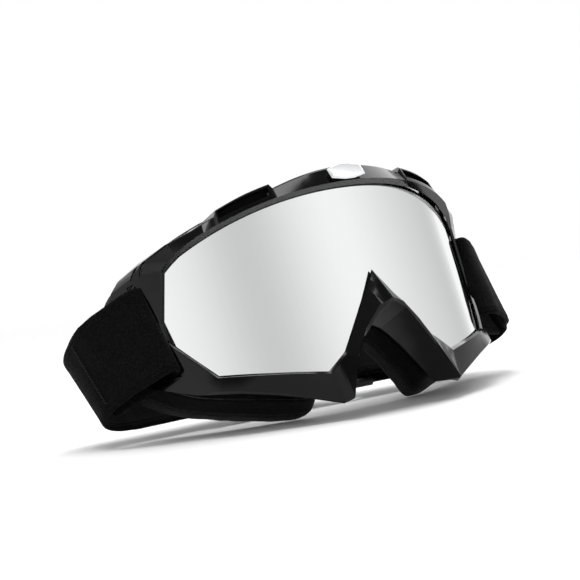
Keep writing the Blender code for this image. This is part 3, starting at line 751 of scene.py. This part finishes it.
FLANGE = [(0, 43.5), (20, 43.6), (38, 41.2), (52, 36.6), (64, 31.0), (73, 25.5), (80, 18.0),
          (84, 8.5), (85, -3.0), (83.5, -14.0), (80, -23.5), (72, -32.0), (62, -37.5),
          (50, -42.0), (38, -46.0), (30, -46.5), (25.5, -41.0), (19.5, -31.5), (12, -23.0),
          (0, -18.8)]
TUNNEL_FRONT = [(0, 31.5), (20, 31.0), (38, 29.3), (54, 26.0), (66, 22.6), (75, 19.0), (82, 15.0),
                (87, 8.0), (89.0, -1.5), (88.0, -8.0), (80.0, -18.0), (73.0, -26.0), (62, -30.0),
                (50, -33.0), (40, -35.5), (33, -36.5), (26.5, -33.0), (20, -24.5), (11, -13.0),
                (0, 0.5)]
HOLE = [(0, 34.0), (19, 34.0), (36, 32.0), (49, 28.0), (59, 23.0), (66, 18.0), (71, 12.0),
        (74, 5.0), (75, -3.0), (74, -11.5), (70.5, -19.0), (64, -25.0), (56, -29.0), (47, -32.0),
        (40, -34.5), (34.5, -34.5), (30, -31.5), (24.5, -24.5), (15, -15.0), (0, -10.5)]
FOAM_OUTER = [(0, 45.0), (20, 45.2), (38, 43.2), (53, 38.6), (66, 32.8), (75.5, 27.0),
              (82.5, 19.5), (86.5, 9.0), (87.5, -3.0), (86, -15.0), (82, -25.5), (73.5, -35.0),
              (63, -41.5), (51, -46.5), (38, -50.6), (27, -51.4), (22, -44.0), (17, -34.5),
              (11, -26.5), (0, -22.0)]


def make_face_frame():
    """Tunnel from the lens to the face, with the flange that carries the foam."""
    half = []
    for (fx, fz), (u, z), (hx, hz) in zip(FLANGE, TUNNEL_FRONT, HOLE):
        inward = Vector((-0.6 * u / 90.0, 0.0, -0.8 if z > 0 else 0.8)).normalized()
        front = on_lens(u, z, -LENS_SETBACK - LENS_THICKNESS - GAP)
        hole_out = Vector((hx, face_y(hx, hz), hz))
        rim = Vector((fx, face_y(fx, fz), fz))
        half.append([front, hole_out - inward * 0.6, rim, rim + Vector((0, FLANGE_WALL, 0)),
                     hole_out + inward * FLANGE_WALL + Vector((0, FLANGE_WALL, 0)),
                     front + inward * FLANGE_WALL])
    ob = new_object("face_tunnel", ring(smooth_loop(whole_ring(half), 4), True), satin)
    round_edges(ob, 0.35, 35.0, 2)
    bake(ob)
    sharpen(ob, 40.0)
    settle(ob, "goggles", "satin_black", "face_frame")


def foam_corners(k, start, depth):
    """Four corners of a foam layer's section at a station: outer front, outer rear, inner two.

    The foam widens from the flange to its full outline before its full depth, and is deeper at the
    nose.
    """
    (fx, fz), (ox, oz), (hx, hz) = FLANGE[k], FOAM_OUTER[k], HOLE[k]
    widening, nose_depth = 1.6, 0.18
    section = []
    for share, outer in ((0, True), (1, True), (1, False), (0, False)):
        if outer:
            s = min(1.0, (start + depth * share) / (FOAM_CORE + FOAM_LINING) * widening)
            x, z = fx + (ox - fx) * s, fz + (oz - fz) * s
        else:
            x, z = hx + (0.6 if hx else 0), hz + (0.8 if hz > 0 else -0.8)
        deeper = 1.0 + nose_depth * clamp(-hz / 35.0) * clamp(1.0 - abs(hx) / 70.0)
        y = face_y(x, z) + FLANGE_WALL + FOAM_GAP + (start + depth * share) * deeper
        section.append(Vector((x, y, z)))
    return section


def make_foam(name, start, depth, radius, mat, slot, cad_node, wave):
    """Foam ring with rounded shoulders and a slightly uneven, cut surface."""
    half = [foam_corners(k, start, depth) for k in range(len(FLANGE))]
    sections, uneven = [], []
    longest = 1.6
    for section in smooth_loop(whole_ring(half), 5):
        outline = rounded(section, radius, 5)
        dense = []
        for a, b in zip(outline, outline[1:] + outline[:1]):
            parts = max(1, round((b - a).length / longest))
            dense += [a.lerp(b, s / parts) for s in range(parts)]
        sections.append(dense)
    count = max(len(s) for s in sections)
    broad, fine, fine_share = 0.22, 0.9, 0.4
    for section in (resample(s, count) for s in sections):
        middle = sum(section, Vector()) / count
        for p in section:
            lift = noise.noise(p * broad) + noise.noise(p * fine) * fine_share - 0.5
            p += (p - middle).normalized() * (lift * wave)
        uneven.append(section)
    ob = new_object(name, ring(uneven, True), mat)
    settle(ob, "goggles", slot, cad_node)


def resample(outline, count):
    """Closed outline with the given number of evenly spaced points, starting at the same one."""
    lengths = [0.0]
    closed = outline + outline[:1]
    for a, b in zip(closed, closed[1:]):
        lengths.append(lengths[-1] + (b - a).length)
    out, k = [], 0
    for i in range(count):
        at = lengths[-1] * i / count
        while lengths[k + 1] < at:
            k += 1
        t = (at - lengths[k]) / max(1e-9, lengths[k + 1] - lengths[k])
        out.append(closed[k].lerp(closed[k + 1], t))
    return out


def foam_slab(name, corners, depth, cad_node):
    """Block of filter foam with a coarse open surface."""
    top = rounded(corners, 1.5)
    drop = Vector((0, 0, -depth))
    ob = new_object(name, tube([[p + drop for p in top], top]), filter_foam)
    round_edges(ob, 0.4, 40.0, 2)
    bake(ob)
    sharpen(ob, 50.0)
    settle(ob, "goggles", "filter_foam", cad_node)


def make_vent_foams():
    """Filter foam under the deck openings and behind the scoops."""
    foam_slab("deck_foam_centre", [(-29.9, 6.4, 39.6), (29.9, 6.4, 39.6), (30.8, 21.2, 40.6),
                                   (0.0, 18.8, 42.4), (-30.8, 21.2, 40.6)], 3.4, "vent_foam_centre")
    outer = [(62.2, 30.6, 31.6), (74.9, 45.2, 27.4), (73.4, 50.6, 28.0), (60.7, 36.4, 33.2)]
    for side, label in ((1, "left"), (-1, "right")):
        foam_slab(f"deck_foam_{label}", outer if side > 0 else flip_x(outer), 3.4,
                  f"vent_foam_{label}")
        rows = [[on_lens(side * u, lens_top(u) + rise, out) for out, rise in
                 ((-0.9, 3.3), (-0.9, 6.8), (-3.8, 6.8), (-3.8, 3.3))]
                for u in (35.6, 40.0, 44.4, 48.8, 53.2, 57.6)]
        # The scoop foam is filter foam, but it takes the near-black face-foam colour: painted shade
        # under the hood.
        ob = new_object(f"hood_foam_{label}", tube(rows), dark_foam_with_painted_shade)
        round_edges(ob, 0.3, 40.0, 2)
        bake(ob)
        settle(ob, "goggles", "filter_foam", f"scoop_foam_{label}")


def make_badge():
    """Hexagonal plate on the brow: bevelled rim round a slightly sunk field."""
    low, high = Vector((0.0, -4.4, 36.3)), Vector((0.0, -1.5, 43.6))
    up = (high - low).normalized()
    out = Vector((0.0, -up.z, up.y))
    tall = (high - low).length
    outline = [(-8.6, 0.17), (-8.6, 0.78), (-2.2, 1.0), (2.2, 1.0), (8.6, 0.78), (8.6, 0.17),
               (2.2, 0.0), (-2.2, 0.0)]
    middle = low + up * (tall / 2)
    rows = []
    for lift, size in ((0.35, 1.0), (0.9, 1.0), (1.35, 0.94), (1.35, 0.86), (1.15, 0.84)):
        row = []
        for x, t in outline:
            p = low + up * (t * tall) + Vector((x, 0, 0))
            row.append(middle + (p - middle) * size + out * lift)
        rows.append(row)
    ob = new_object("brow_plate", tube(rows), silver)
    round_edges(ob, 0.12, 15.0, 2)
    bake(ob)
    sharpen(ob, 35.0)
    settle(ob, "goggles", "silver_plate", "brow_badge")


# ------------------------------------------------------------------ strap

# Routes of the strap's middle line with the tilt of its width in degrees. END_PATH runs from the sewn
# joint inside the frame, forward through the slot and back outside; BAND_PATH carries on to the rear.
END_PATH = [((100.8, 71.4, -13.6), 22), ((96.2, 66.8, -11.4), 18), ((91.2, 62.6, -9.0), 14),
            ((86.0, 57.4, -6.8), 11), ((82.6, 52.6, -4.8), 9), ((80.6, 47.4, -3.6), 9),
            ((81.4, 43.4, -3.2), 9), ((84.8, 40.9, -3.2), 9), ((89.0, 42.6, -4.0), 10),
            ((93.8, 48.6, -5.8), 13), ((98.8, 55.0, -7.6), 16), ((102.6, 61.0, -9.8), 19)]
# The same loop on the wearer's left, where the band stands further out.
LEFT_LOOP = ([((106.2, 71.2, -8.6), 18), ((100.4, 67.2, -8.2), 16), ((93.6, 62.8, -7.8), 14)]
             + END_PATH[3:8]
             + [((90.0, 42.4, -3.8), 14), ((96.8, 48.0, -4.8), 18), ((103.4, 54.8, -5.8), 21),
                ((107.8, 61.0, -6.8), 23)])
BAND_PATH = [((104.6, 66.6, -12.0), 23), ((105.2, 72.4, -14.2), 26), ((103.8, 78.0, -16.4), 29),
             ((99.8, 82.6, -18.0), 31), ((93.6, 85.4, -19.0), 32), ((85.0, 86.2, -19.4), 32),
             ((74.0, 85.4, -19.4), 32)]
REAR_Y, REAR_Z, REAR_TILT = 85.4, -19.2, 32
LONG_RUN, ADDED_EVERY = 7.425, 5.5      # a longer stretch of the route gets points this far apart
SLOT_LEAN = math.tan(math.radians(6.8))  # the slot's lean, which the band keeps as far back as
FULL_LEAN, NO_LEAN = 60.0, 70.0          # FULL_LEAN and has lost at NO_LEAN


def raised(path):
    """The wearer's left side of the strap: it rises behind the frame and comes down to the rear."""
    out = []
    for (x, y, z), tilt in path:
        share = clamp((y - 56.0) / 11.0) * clamp((x - 64.0) / 36.0)
        out.append(((x + LEFT_BULGE * share, y, z + LEFT_RISE * share),
                    tilt - LEFT_UNTILT * share))
    return out


def width_vector(tilt, sideways=0.0):
    """Upward direction across the band: tilted back, and leaning sideways."""
    a = math.radians(tilt)
    return Vector((sideways, math.sin(a), math.cos(a))).normalized()


def across_at(p, tilt, flare):
    """Direction of the band's width at a point of its route."""
    lean = clamp((NO_LEAN - p.y) / (NO_LEAN - FULL_LEAN))
    beside = clamp((p.y - 61.0) / 11.0) * clamp((p.x - 64.0) / 36.0)
    return width_vector(tilt, SLOT_LEAN * lean - flare * beside)


def rear_point(x, lift):
    """Point on the rear band's middle line, or off it by lift."""
    a = math.radians(REAR_TILT)
    return Vector((x, REAR_Y + lift * math.cos(a), REAR_Z - lift * math.sin(a)))


def webbing(path, flare=0.0, steps=5):
    """Elastic band with rounded selvedges and a fine rib beside each of them.

    flare is how far its lower edge stands outside its upper one at the side of the head.
    """
    points = []
    for place, tilt in path:
        point = Vector((*place, tilt))
        while points and (point - points[-1]).to_3d().length > LONG_RUN:
            points.append(points[-1].lerp(point, ADDED_EVERY / (point - points[-1]).to_3d().length))
        points.append(point)
    fine = smooth_path(points, steps)
    half_w, half_t = STRAP_WIDTH / 2, STRAP_THICKNESS / 2
    profile = webbing_profile(half_w, half_t)
    sections = []
    for i, q in enumerate(fine):
        p = q.to_3d()
        ahead = (fine[min(i + 1, len(fine) - 1)] - fine[max(i - 1, 0)]).to_3d().normalized()
        across = across_at(p, q[3], flare)
        normal = ahead.cross(across).normalized()
        sections.append([p + across * w + normal * t for w, t in profile])
    return sections


def webbing_profile(half_w, half_t):
    """Cross-section of the band as (across, thickness) pairs, anticlockwise."""
    face = []
    edge_round, rib_height = 0.8, 0.12
    ribs = ((half_w - 3.4, 0.9), (half_w - 1.9, 0.9))
    marks = [-half_w + edge_round]
    spread = [r + s * w / 2 for r, w in ribs for s in (-1, -0.3, 0.3, 1)]
    marks += sorted([-m for m in spread] + spread + [k * 4.0 for k in range(-3, 4)])
    marks.append(half_w - edge_round)
    for w in marks:
        on_rib = any(abs(abs(w) - r) < width * 0.2 for r, width in ribs)
        face.append((w, half_t if on_rib else half_t - rib_height))
    right = [(half_w - 0.25, half_t * 0.6), (half_w, 0.0), (half_w - 0.25, -half_t * 0.6)]
    back = [(w, -t) for w, t in reversed(face)]
    left = [(-w, -t) for w, t in right]
    return face + right + back + left


def follow_strap(ob):
    """Bakes the piece's placement into its mesh."""
    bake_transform(ob)


def strap_object(name, sections, side, blended_nodes):
    """One side's band, written on the wearer's left and mirrored for the right."""
    if side < 0:
        sections = [flip_x(s) for s in sections]
    ob = new_object(name, tube(sections), velvet)
    sharpen(ob, 50.0)
    follow_strap(ob)
    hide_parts(*blended_nodes)


def make_straps():
    """Each side's band in one piece: sewn loop at the slot, round the side and along the back."""
    right = END_PATH + BAND_PATH
    right += [(rear_point(x, 0.0), REAR_TILT) for x in (64.0, 30.0, -8.0, -14.0)]
    right += [(rear_point(-17.4, -1.2), REAR_TILT), (rear_point(-18.6, -3.4), REAR_TILT),
              (rear_point(-17.4, -5.6), REAR_TILT), (rear_point(-14.0, -6.4), REAR_TILT)]
    right += [(rear_point(x, -5.6), REAR_TILT) for x in (-8.0, 20.0, 52.0)]
    strap_object("strap_long", webbing(right), -1, ["strap_end_right", "strap_long_band"])
    left = LEFT_LOOP + raised(BAND_PATH)
    left += [(rear_point(x, 0.0), REAR_TILT) for x in (64.0, 40.0, 34.0)]
    left += [(rear_point(30.6, -1.2), REAR_TILT), (rear_point(29.4, -3.4), REAR_TILT),
             (rear_point(30.6, -5.6), REAR_TILT), (rear_point(34.0, -6.4), REAR_TILT)]
    left += [(rear_point(x, -5.6), REAR_TILT) for x in (40.0, 56.0)]
    strap_object("strap_short", webbing(left, LEFT_FLARE), 1, ["strap_end_left", "strap_short_band"])


def rear_block(x0, x1, lift0, lift1, low, high):
    """Box in line with the rear band: along X, off its face, and across its width."""
    across = width_vector(REAR_TILT)
    return tube([[rear_point(x, lift) + across * w for x, lift in
                  ((x0, lift0), (x1, lift0), (x1, lift1), (x0, lift1))] for w in (low, high)])


def make_buckle(name, x, bars, low, high, body, cad_node):
    """Two rails beside the rear band, joined by bars given as (start, end, low lift, high lift)."""
    clearance, rail, overhang, overlap = 0.8, 2.6, 0.3, 0.4
    inside = STRAP_WIDTH / 2 + clearance
    outside = inside + rail
    first, last = x + bars[0][0] - overhang, x + bars[-1][1] + overhang
    ob = new_object(name, rear_block(first, last, low, high, inside, outside), buckle_plastic)
    boolean(ob, new_object("rail", rear_block(first, last, low, high, -outside, -inside)), "UNION")
    for a, b, l0, l1 in bars:
        bar = rear_block(x + a, x + b, l0, l1, -inside - overlap, inside + overlap)
        boolean(ob, new_object("bar", bar), "UNION")
    bake(ob)
    round_edges(ob, 0.7, 40.0, 3)
    bake(ob)
    sharpen(ob, 40.0)
    settle(ob, body, "buckle_plastic", cad_node)


def bar_tack(middle, along, across, outward):
    """Zigzag bar tack: stitches that cross between two rows along the strap's width."""
    half, count, reach = STRAP_WIDTH * 0.4, 22, 0.6
    bm = bmesh.new()
    for i in range(count):
        w0 = -half + 2 * half * i / count
        w1 = w0 + 2 * half / count
        a = middle + across * w0 - along * reach
        b = middle + across * w1 + along * reach
        c = middle + across * w1 - along * reach
        for p, q in ((a, b), (b, c)):
            thread_run(bm, p, q, outward)
    return bm


def thread_run(bm, p, q, outward):
    """One stitch, arched a little over the cloth."""
    radius, arch, sides, steps = 0.22, 0.25, 6, 4
    sideways = (q - p).normalized().cross(outward).normalized()
    rows = []
    for s in range(steps + 1):
        t = s / steps
        c = p.lerp(q, t) + outward * (arch * math.sin(math.pi * t))
        rows.append([c + (sideways * math.cos(a) + outward * math.sin(a)) * radius
                     for a in (2 * math.pi * k / sides for k in range(sides))])
    tube(rows, bm)


def make_stitching():
    """Bar tacks: one on the rear band, one where each end is sewn behind its slot."""
    stand_off = 1.35
    a = math.radians(REAR_TILT)
    outward = Vector((0, math.cos(a), -math.sin(a)))
    bm = bar_tack(rear_point(50.7, stand_off), Vector((1, 0, 0)), width_vector(REAR_TILT), outward)
    ob = new_object("tack_rear", bm, thread)
    settle(ob, "strap", "black_thread", "bar_tack")
    for side, label, route, flare in ((1, "left", LEFT_LOOP[-1:] + raised(BAND_PATH), LEFT_FLARE),
                                      (-1, "right", END_PATH[-1:] + BAND_PATH, 0.0)):
        (before, _), (here, tilt), (after, _) = route[:3]
        along = (Vector(after) - Vector(before)).normalized()
        across = across_at(Vector(here), tilt, flare)
        outward = across.cross(along).normalized()
        outward *= math.copysign(1.0, outward.x)
        frames = [Vector(here) + outward * stand_off, along, across, outward]
        ob = new_object(f"tack_{label}", bar_tack(*(frames if side > 0 else flip_x(frames))), thread)
        follow_strap(ob)
        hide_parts(f"end_tack_{label}")


# ------------------------------------------------------------------ build

make_outer_frame()
make_lens()
make_face_frame()
make_foam("foam_core", 0.0, FOAM_CORE - GAP, 0.8, dark_foam_with_painted_shade, "charcoal_foam", "face_foam", 0.25)
make_foam("foam_lining", FOAM_CORE, FOAM_LINING, 1.8, fleece_with_painted_shade, "soft_foam", "face_lining", 0.3)
make_vent_foams()
make_badge()
make_straps()
make_buckle("ring", 24.0, [(-10.6, -7.8, -4.4, -1.9), (7.8, 10.6, -4.4, -1.9)], -4.7, -1.6, "strap",
            "strap_ring")
make_buckle("slider", SLIDER_X, [(-9.0, -6.0, 1.5, 3.6), (-1.5, 1.5, -3.9, -1.6),
                                 (6.0, 9.0, 1.5, 3.6)], -4.2, 3.9, "slider", "strap_slider")
make_stitching()
